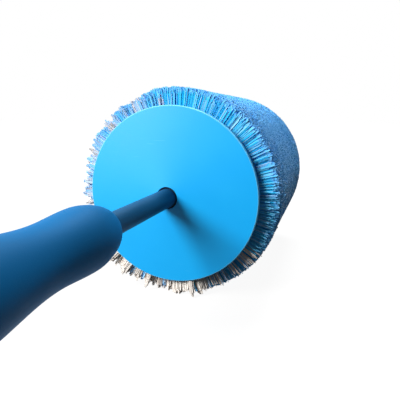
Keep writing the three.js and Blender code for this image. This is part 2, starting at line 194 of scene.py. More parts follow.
# moulded or coated finish: two tones that drift, a grain and scuffs
plainFinish = {"scratchScale": 60.0, "speckScale": 260.0, "grainDepth": 0.1, "sockets": {}}


def surfaceMaterial(ownLook):
    look = {**plainFinish, **ownLook}
    material, tree, shader = newMaterial(look["name"], look["roughness"], **look["sockets"])
    place = addNode(tree, "ShaderNodeTexCoord", (-1300, 0)).outputs["Object"]
    skin = addNode(tree, "ShaderNodeGroup", (-1050, 200), node_tree=mouldSkin)
    skin.inputs["Grain Scale"].default_value = look["grain"]
    skin.inputs["Drift Scale"].default_value = look["drift"]
    wire(tree, place, skin.inputs["Vector"])
    marks = addNode(tree, "ShaderNodeGroup", (-1050, -150), node_tree=scuffs)
    marks.inputs["Scale"].default_value = look["scratchScale"]
    marks.inputs["Speck Scale"].default_value = look["speckScale"]
    wire(tree, place, marks.inputs["Vector"])
    tone = mixColours(tree, skin.outputs["Drift"], look["colour"], look["secondColour"], (-760, 260))
    faint = addNode(tree, "ShaderNodeMath", (-760, -120), operation="MULTIPLY")
    faint.inputs[1].default_value = look["wear"]
    wire(tree, marks.outputs["Scratch"], faint.inputs[0])
    worn = mixColours(tree, faint.outputs[0], tone, look["wornColour"], (-520, 200))
    dirt = addNode(tree, "ShaderNodeMath", (-760, -320), operation="MULTIPLY")
    dirt.inputs[1].default_value = look["dirt"]
    wire(tree, marks.outputs["Speck"], dirt.inputs[0])
    colour = mixColours(tree, dirt.outputs[0], worn, look["dirtColour"], (-280, 200))
    dullRange = (look["roughness"] - look["gloss"], look["roughness"] + look["gloss"])
    dull = ramp(tree, skin.outputs["Drift"], 0, 1, *dullRange, (-520, -60))
    wire(tree, dull, shader.inputs["Roughness"])
    bump = addNode(tree, "ShaderNodeBump", (-280, -300))
    bump.inputs["Strength"].default_value = look["bump"]
    bump.inputs["Distance"].default_value = look["grainDepth"] * mm
    wire(tree, skin.outputs["Height"], bump.inputs["Height"])
    wire(tree, bump.outputs["Normal"], shader.inputs["Normal"])
    wire(tree, colour, shader.inputs["Base Color"])
    return material, tree, shader, colour


# modelling helpers

creaseAngle = math.radians(40)
weld = {"axis": 1e-7, "turned": 1e-6, "trimmed": 2e-6}


def spinOutline(outline, steps, station, segments=4):
    # outline corners are radius, place along the axis and rounding, and close on themselves or on the axis
    bm = bmesh.new()
    corners = [bm.verts.new((radius * mm, place * mm, 0)) for radius, place, rounding in outline]
    bm.faces.new(corners)
    for corner, (radius, place, rounding) in zip(corners, outline):
        if rounding:
            bmesh.ops.bevel(
                bm, geom=[corner], offset=rounding * mm, affect="VERTICES",
                segments=segments, profile=0.5, material=-1,
            )
    bmesh.ops.delete(bm, geom=bm.faces[:], context="FACES_ONLY")
    onAxis = [edge for edge in bm.edges if all(abs(vert.co.x) < weld["axis"] for vert in edge.verts)]
    bmesh.ops.delete(bm, geom=onAxis, context="EDGES")
    bmesh.ops.spin(
        bm, geom=bm.verts[:] + bm.edges[:], cent=(0, 0, 0), axis=(0, 1, 0),
        angle=math.tau, steps=steps, use_merge=True,
    )
    bmesh.ops.remove_doubles(bm, verts=bm.verts[:], dist=weld["turned"])
    bmesh.ops.recalc_face_normals(bm, faces=bm.faces[:])
    bmesh.ops.translate(bm, verts=bm.verts[:], vec=(0, station, axisHeight))
    return bm


def newPiece(name, bm, material, nodes):
    mesh = bpy.data.meshes.new(name)
    for face in bm.faces:
        face.smooth = True
    bm.to_mesh(mesh)
    bm.free()
    mesh.set_sharp_from_angle(angle=creaseAngle)
    mesh.materials.append(material)
    piece = bpy.data.objects.new(name, mesh)
    bpy.context.scene.collection.objects.link(piece)
    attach(piece, "root")
    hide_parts(*nodes)
    return piece


def evenShading(piece):
    facing = piece.modifiers.new("evenShading", "WEIGHTED_NORMAL")
    facing.keep_sharp = True


# splash disc: one shallow cone with a rounded rim

discLook = {
    "name": "azureMoulding",
    "colour": (0.004, 0.42, 0.95), "secondColour": (0.006, 0.45, 0.97),
    "wornColour": (0.1, 0.58, 0.97), "dirtColour": (0.02, 0.16, 0.34),
    "roughness": 0.44, "gloss": 0.04, "grain": 2600.0, "drift": 28.0, "bump": 0.1,
    "wear": 0.3, "dirt": 0.6, "scratchScale": 70.0, "speckScale": 120.0,
    "sockets": {"Specular_IOR_Level": 0.3},
}
# the pale rim tone, its inset and its share in this table paint a highlight on the rim's edge
disc = {
    "radius": nodeSize("splash_disc")[0] / 2, "rise": 5.0, "thickness": 3.0, "rimRound": 0.55,
    "hole": 6.2, "holeRound": 0.3, "land": 27.0, "landHeight": 2.0, "landRound": 0.4,
    "paintedRimHighlight": (0.2, 0.66, 0.98), "highlightInset": (0.7, 0.35), "highlightShare": 0.7, "steps": 180, "roundSteps": 6,
}


def makeDisc():
    material, tree, shader, colour = surfaceMaterial(discLook)
    # painted highlight: the rim is painted paler, where its rounded edge catches the light
    place = addNode(tree, "ShaderNodeTexCoord", (-1300, 600)).outputs["Object"]
    centre = addNode(tree, "ShaderNodeMapping", (-1080, 600))
    centre.inputs["Location"].default_value = (0, 0, -axisHeight)
    centre.inputs["Scale"].default_value = (1, 0, 1)
    wire(tree, place, centre.inputs["Vector"])
    reach = addNode(tree, "ShaderNodeVectorMath", (-860, 600), operation="LENGTH")
    wire(tree, centre.outputs["Vector"], reach.inputs[0])
    highlightRange = [(disc["radius"] - inset) * mm for inset in disc["highlightInset"]]
    edge = ramp(tree, reach.outputs["Value"], *highlightRange, 0, disc["highlightShare"], (-640, 600))
    rimHighlighted = mixColours(tree, edge, colour, disc["paintedRimHighlight"], (-60, 300))
    wire(tree, rimHighlighted, shader.inputs["Base Color"])

    slope = disc["rise"] / (disc["radius"] - disc["hole"])
    rear = lambda radius: -slope * (disc["radius"] - radius)
    outline = [
        (disc["hole"], rear(disc["hole"]), disc["holeRound"]),
        (disc["radius"], 0, disc["rimRound"]),
        (disc["radius"], disc["thickness"], disc["rimRound"]),
        (disc["land"], rear(disc["land"]) + disc["thickness"], 0),
        (disc["land"], disc["landHeight"], disc["landRound"]),
        (disc["hole"], disc["landHeight"], disc["holeRound"]),
    ]
    bm = spinOutline(outline, disc["steps"], discBack + disc["rise"] * mm, disc["roundSteps"])
    evenShading(newPiece("splashDisc", bm, material, ["splash_disc"]))
    print("splash disc turned")


# rod, its rubber grommet and the ferrule that closes the grip

rodLook = {
    "name": "navyCoating",
    "colour": (0.005, 0.06, 0.145), "secondColour": (0.006, 0.068, 0.16),
    "wornColour": (0.04, 0.09, 0.16), "dirtColour": (0.02, 0.03, 0.04),
    "roughness": 0.46, "gloss": 0.05, "grain": 1500.0, "drift": 60.0, "bump": 0.14,
    "wear": 0.25, "dirt": 0.3, "sockets": {"Specular_IOR_Level": 0.14},
}
# near-black rubber for the grommet and the nose plug; on the grommet it is also painted shade, standing for
# the shadowed gap round the rod in the disc's hole
rubberAndGapShadeLook = {
    "name": "darkRubberAndGapShade",
    "colour": (0.004, 0.014, 0.034), "secondColour": (0.006, 0.018, 0.042),
    "wornColour": (0.02, 0.03, 0.04), "dirtColour": (0.04, 0.04, 0.04),
    "roughness": 0.75, "gloss": 0.06, "grain": 2200.0, "drift": 150.0, "bump": 0.3,
    "wear": 0.2, "dirt": 0.3, "sockets": {"Specular_IOR_Level": 0.2},
}
hardLook = {
    "name": "deepBlueMoulding",
    "colour": (0.006, 0.06, 0.19), "secondColour": (0.009, 0.075, 0.22),
    "wornColour": (0.06, 0.16, 0.34), "dirtColour": (0.02, 0.03, 0.05),
    "roughness": 0.45, "gloss": 0.05, "grain": 1800.0, "drift": 70.0, "bump": 0.2, "wear": 0.3, "dirt": 0.3,
}
rod = {"radius": 5.25, "chamfer": 0.6, "steps": 72}
grommet = {"bore": 5.4, "boreRound": 0.15, "radius": 6.05, "lip": 0.35, "innerRound": 0.1, "steps": 72}
ferrule = {"bore": 5.5, "radius": 7.4, "length": 3.6, "round": 0.7, "edge": 0.2, "steps": 80}
plug = {"edge": 0.2, "dome": 1.0, "steps": 48}


def makeRodAndRings():
    rubber = surfaceMaterial(rubberAndGapShadeLook)[0]
    hard = surfaceMaterial(hardLook)[0]
    low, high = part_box("rod")
    length = (high[1] - low[1]) / mm
    bar = [
        (0, 0, 0), (rod["radius"], 0, rod["chamfer"]),
        (rod["radius"], length, rod["chamfer"]), (0, length, 0),
    ]
    bm = spinOutline(bar, rod["steps"], low[1])
    evenShading(newPiece("coatedRod", bm, surfaceMaterial(rodLook)[0], ["rod"]))

    # the grommet's near-black lip shows as a thin ring round the rod: it is a rubber part and also painted
    # shade for the gap in the disc's hole
    low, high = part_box("rod_grommet")
    length = (high[1] - low[1]) / mm
    sleeve = [
        (grommet["bore"], 0, grommet["boreRound"]), (grommet["radius"], 0, grommet["lip"]),
        (grommet["radius"], length, grommet["innerRound"]), (grommet["bore"], length, grommet["innerRound"]),
    ]
    bm = spinOutline(sleeve, grommet["steps"], low[1])
    evenShading(newPiece("rodGrommet", bm, rubber, ["rod_grommet"]))

    ring = [
        (ferrule["bore"], 0, ferrule["edge"]), (ferrule["radius"], 0, ferrule["round"]),
        (ferrule["radius"], -ferrule["length"], ferrule["edge"]),
        (ferrule["bore"], -ferrule["length"], ferrule["edge"]),
    ]
    bm = spinOutline(ring, ferrule["steps"], ferruleFront)
    evenShading(newPiece("gripFerrule", bm, hard, ["grip_ferrule"]))

    low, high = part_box("nose_plug")
    radius, height = (high[0] - low[0]) / 2 / mm, (high[1] - low[1]) / mm
    button = [(0, 0, 0), (radius, 0, plug["edge"]), (radius, height, plug["dome"]), (0, height, 0)]
    bm = spinOutline(button, plug["steps"], low[1])
    evenShading(newPiece("nosePlug", bm, rubber, ["nose_plug"]))
    print("rod, grommet, ferrule and plug turned")
    return hard


# grip: blunt nose, bulge, waist and palm swell, measured back from the ferrule

gripLook = {
    "name": "softTouchBlue",
    "colour": (0.002, 0.12, 0.315), "secondColour": (0.003, 0.13, 0.345),
    "wornColour": (0.015, 0.19, 0.44), "dirtColour": (0.01, 0.05, 0.12),
    "roughness": 0.58, "gloss": 0.06, "grain": 2400.0, "drift": 35.0, "bump": 0.22,
    "wear": 0.25, "dirt": 0.4, "sockets": {"Specular_IOR_Level": 0.1},
}
grip = {
    "start": 0.8, "mouth": 7.7, "noseCurve": 16.4, "noseFullness": 1.6, "bulge": 12.85,
    "waist": 11.6, "waistPlace": 39.6, "palm": 15.4, "palmPlace": 81.6, "end": 95.6, "tailCurve": 45.0,
    "bore": 8.9, "boreRound": 0.2, "step": 3.9, "outlineSteps": 46, "ease": 1.6, "steps": 112,
}
cap = {
    "start": 95.9, "butt": 122.9, "buttRound": 1.2, "bore": 8.9, "socket": 102.2,
    "tab": 13.0, "tabLength": 19.0, "hole": 4.0, "holeInset": 11.0, "holeSteps": 48, "holeDepth": 20.0,
    "cutWidth": 30.0, "cutBeyond": 10.0, "cutHeight": 60.0, "edge": 0.6, "edgeSteps": 3, "edgeFrom": 32,
    "outlineSteps": 14, "ease": 1.0, "steps": 96,
}


def gripRadius(place):
    bulgePlace = grip["start"] + grip["noseCurve"]
    swell = lambda low, high, share: low + (high - low) * (1 - math.cos(math.pi * share)) / 2
    if place < bulgePlace:
        share = (bulgePlace - place) / grip["noseCurve"]
        full = grip["noseFullness"]
        return grip["mouth"] + (grip["bulge"] - grip["mouth"]) * max(0, 1 - share ** full) ** (1 / full)
    if place < grip["waistPlace"]:
        share = (place - bulgePlace) / (grip["waistPlace"] - bulgePlace)
        return swell(grip["bulge"], grip["waist"], share)
    if place < grip["palmPlace"]:
        share = (place - grip["waistPlace"]) / (grip["palmPlace"] - grip["waistPlace"])
        return swell(grip["waist"], grip["palm"], share)
    return grip["palm"] * math.sqrt(1 - ((place - grip["palmPlace"]) / grip["tailCurve"]) ** 2)


def gripOutline(shape, end):
    steps = shape["outlineSteps"]
    shares = [(index / steps) ** shape["ease"] for index in range(steps + 1)]
    places = [shape["start"] + (end - shape["start"]) * share for share in shares]
    return [(gripRadius(place), -place, 0) for place in places]


def makeGrip(hard):
    outline = gripOutline(grip, grip["end"]) + [
        (grip["bore"], -grip["end"], grip["boreRound"]),
        (grip["bore"], -grip["step"], 0), (grip["mouth"], -grip["step"], 0),
    ]
    bm = spinOutline(outline, grip["steps"], ferruleFront)
    evenShading(newPiece("softGrip", bm, surfaceMaterial(gripLook)[0], ["soft_grip"]))

    outline = gripOutline(cap, cap["butt"])
    outline[-1] = (*outline[-1][:2], cap["buttRound"])
    outline += [
        (0, -cap["butt"], 0), (0, -cap["socket"], 0),
        (cap["bore"], -cap["socket"], 0), (cap["bore"], -cap["start"], 0),
    ]
    bm = spinOutline(outline, cap["steps"], ferruleFront)
    body = newPiece("endCap", bm, hard, ["end_cap"])
    # two blocks flatten the tab, and a bar across it bores the hang hole
    cutters = bmesh.new()
    buttY = ferruleFront - cap["butt"] * mm
    for side in (-1, 1):
        aside = side * (cap["tab"] / 2 + cap["cutWidth"] / 2) * mm
        middle = Vector((aside, buttY + (cap["tabLength"] / 2 - cap["cutBeyond"] / 2) * mm, axisHeight))
        lengthways = (cap["tabLength"] + cap["cutBeyond"]) * mm
        size = Matrix.Diagonal((cap["cutWidth"] * mm, lengthways, cap["cutHeight"] * mm, 1))
        bmesh.ops.create_cube(cutters, size=1, matrix=Matrix.Translation(middle) @ size)
    holeSpot = Matrix.Translation((0, buttY + cap["holeInset"] * mm, axisHeight))
    bmesh.ops.create_cone(
        cutters, cap_ends=True, segments=cap["holeSteps"],
        radius1=cap["hole"] * mm, radius2=cap["hole"] * mm, depth=cap["holeDepth"] * mm,
        matrix=holeSpot @ Matrix.Rotation(math.pi / 2, 4, "Y"),
    )
    cutMesh = bpy.data.meshes.new("capCutters")
    cutters.to_mesh(cutMesh)
    cutters.free()
    tool = bpy.data.objects.new("capCutters", cutMesh)
    bpy.context.scene.collection.objects.link(tool)
    trim = body.modifiers.new("trim", "BOOLEAN")
    trim.operation = "DIFFERENCE"
    trim.solver = "EXACT"
    trim.use_self = True
    trim.object = tool
    bpy.context.view_layer.update()
    trimmed = bpy.data.meshes.new_from_object(body.evaluated_get(bpy.context.evaluated_depsgraph_get()))
    body.modifiers.clear()
    body.data = trimmed
    bpy.data.objects.remove(tool)
    bm = bmesh.new()
    bm.from_mesh(trimmed)
    bmesh.ops.remove_doubles(bm, verts=bm.verts[:], dist=weld["trimmed"])
    inside = [edge for edge in bm.edges if len(edge.link_faces) == 2]
    sharp = [edge for edge in inside if edge.calc_face_angle() > math.radians(cap["edgeFrom"])]
    bmesh.ops.bevel(
        bm, geom=sharp, offset=cap["edge"] * mm, affect="EDGES", segments=cap["edgeSteps"],
        profile=0.5, material=-1, clamp_overlap=True,
    )
    for face in bm.faces:
        face.smooth = True
    bm.to_mesh(trimmed)
    bm.free()
    trimmed.set_sharp_from_angle(angle=creaseAngle)
    evenShading(body)
    print("grip and end cap made")


# bristles: straight tufts in the drum and its nose, fine or worn ones in the rows beside the disc

fibre = {
    "bands": [
        (0.0, (0.002, 0.38, 0.86)), (0.3, (0.01, 0.52, 0.95)), (0.6, (0.14, 0.64, 0.98)),
        (0.7, (0.3, 0.61, 0.94)), (0.78, (0.48, 0.65, 0.89)), (0.86, (0.7, 0.64, 0.6)),
        (1.0, (0.95, 0.9, 0.84)),
    ],
    "tip": (0.18, 0.56, 0.98), "tipShare": 0.9, "tipRange": (0.93, 0.98), "freshRange": (0.6, 0.8),
    "roughness": 0.5, "specular": 0.08,
}
bristles = {
    "seed": 41, "variants": 8, "toneBands": 48, "around": 80, "rowsPerRing": 7, "edgeRows": 3,
    "root": 28.0, "rootSink": 1.0, "tip": 60.8, "nominal": 32.8, "floorGap": 0.3,
    # rows beside the disc, where turns are degrees from the right by way of the bottom
    "fineAround": 400, "fineRows": 3, "fineSplay": 0.8, "fineShift": 0.4, "fuzzRows": 4,
    "hairAround": 280, "hairGap": 0.15, "hairFrom": 32, "hairPress": 0.45,
    "pressedAt": 36, "pressedHalf": 46, "pressedLean": 6.0,
    "wornFrom": 72, "wornTo": 258, "wornBlend": 16, "leftFrom": 140, "bluntFrom": 212, "tanTo": 246,
    "wornAround": 190, "wornRows": 3, "wornSplay": 5.0, "wornReach": 0.6, "wornStep": 0.8,
    "wornBeds": (2.6, 2.0, 2.0), "creamShare": 0.74, "tanShare": 0.35, "bluntShare": 0.7,
    # the nose
    "straight": 15.5, "straightRows": 4, "edgeRound": 16.0, "domeFlat": 11.0, "domeTurn": 88,
    "tipPitch": 5.0, "leastTufts": 6, "noseGap": 1.0, "noseTrim": (-0.9, 0.1), "noseRough": 0.12,
    "edgePart": 6, "frontPart": 2,
}
rootRadius = bristles["root"] - bristles["rootSink"]
# how strands are laid out in a tuft, bent and charted, and how tufts stray from their places
strandLay = {
    "spiral": 2.39996, "stray": 0.28, "clump": (0.3, 1.1), "bend": (0.2, 0.8), "jitter": 0.006,
    "steep": 0.95, "chartEdge": 0.01, "bandFill": 0.6, "topTone": 0.999, "endFrom": 0.9,
}
# blocks that the tufts stand in
backingBlock = {
    "bore": 17.3, "boreRound": 0.3, "endRound": 0.5, "socketEnd": 17.5,
    "plugBore": 7.3, "plugRound": 0.3, "plugSeat": 23.5, "domeSteps": 12, "steps": 72,
}
# A kind of tuft: its number of strands, the radius of a strand's tip, how far its strands spread at both
# ends, how evenly strands (trim) and whole tufts (cut) are shortened, how far it leans in degrees, the tones
# that its variants run through and how far strands stray from them, and how far in degrees a strand's flat
# side may turn away from the disc. Worn kinds also swell in the middle and are cut to a point.
bodyTuft = {
    "strands": 84, "girth": 0.51, "rootSpread": 1.25, "tipSpread": 3.2, "trim": (0.99, 1.002),
    "cut": (0.995, 1.005), "lean": 0.8, "tones": (0.2, 0.45), "toneSpread": 0.12, "roll": 180,
}
noseTuft = {**bodyTuft, "girth": 0.6, "tipSpread": 3.5}
fuzzTuft = {
    **bodyTuft, "girth": 0.42, "trim": (0.965, 1.012), "lean": 1.4, "tones": (0.45, 0.7), "toneSpread": 0.08,
}
bedTuft = {**fuzzTuft, "girth": 0.55, "trim": (0.98, 1.012), "cut": (0.93, 0.94), "tones": (0.66, 0.8)}
bedCream = {**bedTuft, "cut": (0.995, 1.005), "tones": (0.84, 0.97)}
fineTuft = {
    "strands": 16, "girth": 0.44, "rootSpread": 0.4, "tipSpread": 0.75, "trim": (0.94, 1.01),
    "cut": (0.98, 1.01), "lean": 0.45, "tones": (0.3, 0.55), "toneSpread": 0.1, "roll": 20,
}
hairTuft = {
    **fineTuft, "strands": 2, "girth": 0.32, "tipSpread": 1.6, "cut": (0.9, 1.0),
    "lean": 1.6, "tones": (0.46, 0.63),
}
hairCream = {
    **hairTuft, "strands": 4, "girth": 0.3, "cut": (0.94, 1.02), "tones": (0.79, 0.97), "toneSpread": 0.05,
}
wornBlue = {
    "strands": 44, "girth": 0.5, "rootSpread": 1.25, "tipSpread": 1.4, "swell": 2.1, "point": 0.1,
    "trim": (0.95, 1.03), "cut": (0.95, 1.03), "lean": 2.4, "tones": (0.66, 0.78),
    "toneSpread": 0.06, "roll": 30,
}
wornCream = {**wornBlue, "tones": (0.9, 0.99)}
wornPale = {**wornBlue, "cut": (0.89, 0.97), "tones": (0.72, 0.81)}
wornTan = {**wornPale, "tones": (0.82, 0.9)}
wornBlunt = {
    **wornBlue, "tipSpread": 2.6, "point": 0.03, "cut": (0.87, 0.95),
    "tones": (0.56, 0.82), "toneSpread": 0.1,
}
drawLots = random.Random(bristles["seed"])
# the shader reads the first chart, and the second carries the same coordinates
chartNames = ("strandChart", "OFBake")


def makeFibre():
    gloss = {"Specular_IOR_Level": fibre["specular"]}
    material, tree, shader = newMaterial("blueFilament", fibre["roughness"], **gloss)
    chart = addNode(tree, "ShaderNodeUVMap", (-1200, 0), uv_map="strandChart")
    parts = addNode(tree, "ShaderNodeSeparateXYZ", (-1000, 0))
    wire(tree, chart.outputs["UV"], parts.inputs["Vector"])
    bands = addNode(tree, "ShaderNodeValToRGB", (-780, 200))
    stops = bands.color_ramp.elements
    stops[0].color = (*fibre["bands"][0][1], 1)
    stops[1].color = (*fibre["bands"][-1][1], 1)
    for position, colour in fibre["bands"][1:-1]:
        stops.new(position).color = (*colour, 1)
    wire(tree, parts.outputs["X"], bands.inputs["Fac"])
    flagged = ramp(tree, parts.outputs["Y"], *fibre["tipRange"], 0.0, fibre["tipShare"], (-780, -120))
    fresh = ramp(tree, parts.outputs["X"], *fibre["freshRange"], 1.0, 0.0, (-780, -360))
    blend = addNode(tree, "ShaderNodeMath", (-560, -200), operation="MULTIPLY")
    wire(tree, flagged, blend.inputs[0])
    wire(tree, fresh, blend.inputs[1])
    tipped = mixColours(tree, blend.outputs[0], bands.outputs["Color"], fibre["tip"], (-320, 140))
    wire(tree, tipped, shader.inputs["Base Color"])
    return material


# one strand, a slim three-sided point that starts at its root and is cut off at its tip, bowed on request
def addStrand(bm, root, tip, bow, kind, tone):
    along = tip - root
    strand = bmesh.new()
    charts = [strand.loops.layers.uv.new(name) for name in chartNames]
    roll = math.radians(drawLots.uniform(-kind["roll"], kind["roll"]))
    upright = Matrix.Translation((0, 0, along.length / 2)) @ Matrix.Rotation(roll, 4, "Z")
    bmesh.ops.create_cone(
        strand, cap_ends=True, segments=3, radius1=0, radius2=kind["girth"] * mm,
        depth=along.length, matrix=upright,
    )
    if bow is not None:
        sides = [edge for edge in strand.edges if edge.calc_length() > along.length / 2]
        bmesh.ops.subdivide_edges(strand, edges=sides, cuts=1)
        low, high = strandLay["bend"]
        middle = [vert for vert in strand.verts if low < vert.co.z / along.length < high]
        bmesh.ops.translate(strand, verts=middle, vec=bow)
    band = (int(tone * bristles["toneBands"]) + 0.5) / bristles["toneBands"]
    margin = strandLay["chartEdge"]
    for face in strand.faces:
        for index, loop in enumerate(face.loops):
            height = min(max(loop.vert.co.z / along.length, margin), 1 - margin)
            sideways = (index / (len(face.loops) - 1) - 0.5) * strandLay["bandFill"] / bristles["toneBands"]
            for chart in charts:
                loop[chart].uv = (band + sideways, height)
    facing = Vector((0, 0, 1)).rotation_difference(along).to_matrix().to_4x4()
    strand.transform(Matrix.Translation(root) @ facing)
    mesh = bpy.data.meshes.new("strand")
    strand.to_mesh(mesh)
    strand.free()
    bm.from_mesh(mesh)
    bpy.data.meshes.remove(mesh)


# combed tufts flare evenly, worn ones draw together to a point
def makeTuft(kind, variant):
    bm = bmesh.new()
    ownTone = kind["tones"][0] + (kind["tones"][1] - kind["tones"][0]) * variant / (bristles["variants"] - 1)
    for chart in chartNames:
        bm.loops.layers.uv.new(chart)
    for index in range(kind["strands"]):
        reach = math.sqrt((index + 0.5) / kind["strands"])
        turn = index * strandLay["spiral"]
        flat = Vector((math.cos(turn), math.sin(turn), 0)) * reach
        root = flat * kind["rootSpread"]
        stray = Vector((drawLots.gauss(0, strandLay["stray"]), drawLots.gauss(0, strandLay["stray"]), 0))
        length = drawLots.uniform(*kind["trim"])
        tone = ownTone + drawLots.uniform(-1, 1) * kind["toneSpread"]
        tone = min(max(tone, 0), strandLay["topTone"])
        bow = None
        if "swell" in kind:
            tip = flat * kind["tipSpread"] * drawLots.uniform(*strandLay["clump"]) + stray
            bow = (flat * kind["swell"] - (root + tip) / 2) * mm
            length -= kind["point"] * reach
        else:
            tip = flat * kind["tipSpread"] + stray
        tip.z = bristles["nominal"] * length
        addStrand(bm, root * mm, tip * mm, bow, kind, tone)
    mesh = bpy.data.meshes.new("tuft")
    bm.to_mesh(mesh)
    bm.free()
    return mesh


# how likely a tuft at this turn about the axis is worn, which is the lower left of the brush
def wornShare(turn):
    degrees = math.degrees(turn) % 360
    inside = min(degrees - bristles["wornFrom"], bristles["wornTo"] - degrees) / bristles["wornBlend"]
    return min(max(inside + 0.5, 0), 1)


# worn tufts are cream or blue underneath, pale or tan at the left, and blunt at the upper left
def wornKind(turn):
    degrees = math.degrees(turn) % 360
    if degrees > bristles["bluntFrom"] and drawLots.random() < bristles["bluntShare"]:
        return wornBlunt
    if degrees > bristles["leftFrom"]:
        tan = drawLots.random() < bristles["tanShare"] and degrees < bristles["tanTo"]
        return wornTan if tan else wornPale
    return wornCream if drawLots.random() < bristles["creamShare"] else wornBlue


# the bed under the worn tufts is cream underneath and pale blue at the left
def bedKind(turn):
    return bedCream if math.degrees(turn) % 360 < bristles["leftFrom"] else bedTuft


# some hairs at the lower right are cream
def hairKind(turn):
    cream = bristles["hairFrom"] < math.degrees(turn) < bristles["wornTo"]
    return hairCream if cream and drawLots.random() < bristles["creamShare"] else hairTuft


# how far the tips at the lower right are pressed away from the disc, where they lie in its shadow
def pressed(turn):
    degrees = (math.degrees(turn) + 180) % 360 - 180
    inside = 1 - abs(degrees - bristles["pressedAt"]) / bristles["pressedHalf"]
    return bristles["pressedLean"] * min(max(2 * inside, 0), 1)


# turns a tuft along its own line, with its local -Y side towards the disc
def tuftFrame(along):
    outward = along.normalized()
    forward = Vector((0, 1, 0)) if abs(outward.y) < strandLay["steep"] else Vector((1, 0, 0))
    sideways = forward.cross(outward).normalized()
    return Matrix((sideways, outward.cross(sideways), outward)).transposed().to_4x4()


# tufts of one row: root and tip are radius and place along the axis from the row's own station
def plantRow(bm, kindAt, station, root, tip, count, offset, share=None, push=None):
    for index in range(count):
        turn = math.tau * (index + offset) / count + drawLots.gauss(0, strandLay["jitter"])
        if share and drawLots.random() > share(turn):
            continue
        kind = kindAt(turn) if callable(kindAt) else kindAt
        sway = lambda: math.radians(drawLots.gauss(0, kind["lean"]))
        around = Matrix.Translation((0, station, axisHeight)) @ Matrix.Rotation(turn, 4, "Y")
        start = around @ Vector((root[0] * mm, root[1] * mm, 0))
        end = around @ Vector((tip[0] * mm, (tip[1] + (push(turn) if push else 0)) * mm, 0))
        if end.z < bristles["floorGap"] * mm:
            end = start + (end - start) * (start.z - bristles["floorGap"] * mm) / (start.z - end.z)
        along = (end - start) * drawLots.uniform(*kind["cut"])
        tilt = Matrix.Rotation(sway(), 4, "X") @ Matrix.Rotation(sway(), 4, "Y")
        stretch = Matrix.Diagonal((1, 1, along.length / (bristles["nominal"] * mm), 1))
        spin = Matrix.Rotation(math.radians(drawLots.uniform(-1, 1) * kind["roll"]), 4, "Z")
        tuft = drawLots.choice(kind["tufts"]).copy()
        tuft.transform(Matrix.Translation(start) @ tuftFrame(along) @ tilt @ stretch @ spin)
        bm.from_mesh(tuft)
        bpy.data.meshes.remove(tuft)


# trimmed outline of the nose from the end of the straight drum to the axis, at a distance along it
def noseOutline(distance, frontPlace):
    straight = frontPlace - bristles["edgeRound"] - bristles["straight"]
    corner = bristles["edgeRound"] * math.pi / 2
    if distance < straight:
        return bristles["tip"], bristles["straight"] + distance
    inner = bristles["tip"] - bristles["edgeRound"]
    if distance < straight + corner:
        turn = (distance - straight) / bristles["edgeRound"]
        across = inner + bristles["edgeRound"] * math.cos(turn)
        return across, frontPlace - bristles["edgeRound"] * (1 - math.sin(turn))
    return inner - (distance - straight - corner), frontPlace


# place on the nose's backing, or at a depth in it, at a turn from its side to its front
def domeOutline(turn, frontPlace, depth=0):
    across = bristles["domeFlat"] + (bristles["root"] - depth - bristles["domeFlat"]) * math.cos(turn)
    return across, bristles["straight"] + (frontPlace - depth - bristles["straight"]) * math.sin(turn)


# cuts the tips of the nose to its outline, a cylinder with a round front edge
def trimNose(bm):
    chart = bm.loops.layers.uv[chartNames[0]]
    roundEdge = bristles["edgeRound"] * mm
    for face in bm.faces:
        if min(loop[chart].uv.y for loop in face.loops) < strandLay["endFrom"]:
            continue
        shift = drawLots.uniform(*bristles["noseTrim"]) * mm
        for vert in face.verts:
            outward = Vector((vert.co.x, 0, vert.co.z - axisHeight))
            across = outward.length - bristles["tip"] * mm + roundEdge
            ahead = vert.co.y - bristleFront + roundEdge
            if across > 0 and ahead > 0:
                normal = (outward.normalized() * across + Vector((0, ahead, 0))).normalized()
                excess = math.hypot(across, ahead) - roundEdge
            elif across > ahead:
                normal, excess = outward.normalized(), across - roundEdge
            else:
                normal, excess = Vector((0, 1, 0)), ahead - roundEdge
            vert.co -= normal * (excess - shift - drawLots.gauss(0, bristles["noseRough"] * mm))


def newBristles(name, material, node):
    bm = bmesh.new()
    for chart in chartNames:
        bm.loops.layers.uv.new(chart)

    def finishPiece():
        # strands under the brush are pressed flat on what it lies on
        for vert in bm.verts:
            vert.co.z = max(vert.co.z, bristles["floorGap"] * mm)
        newPiece(name, bm, material, [node])
    return bm, finishPiece


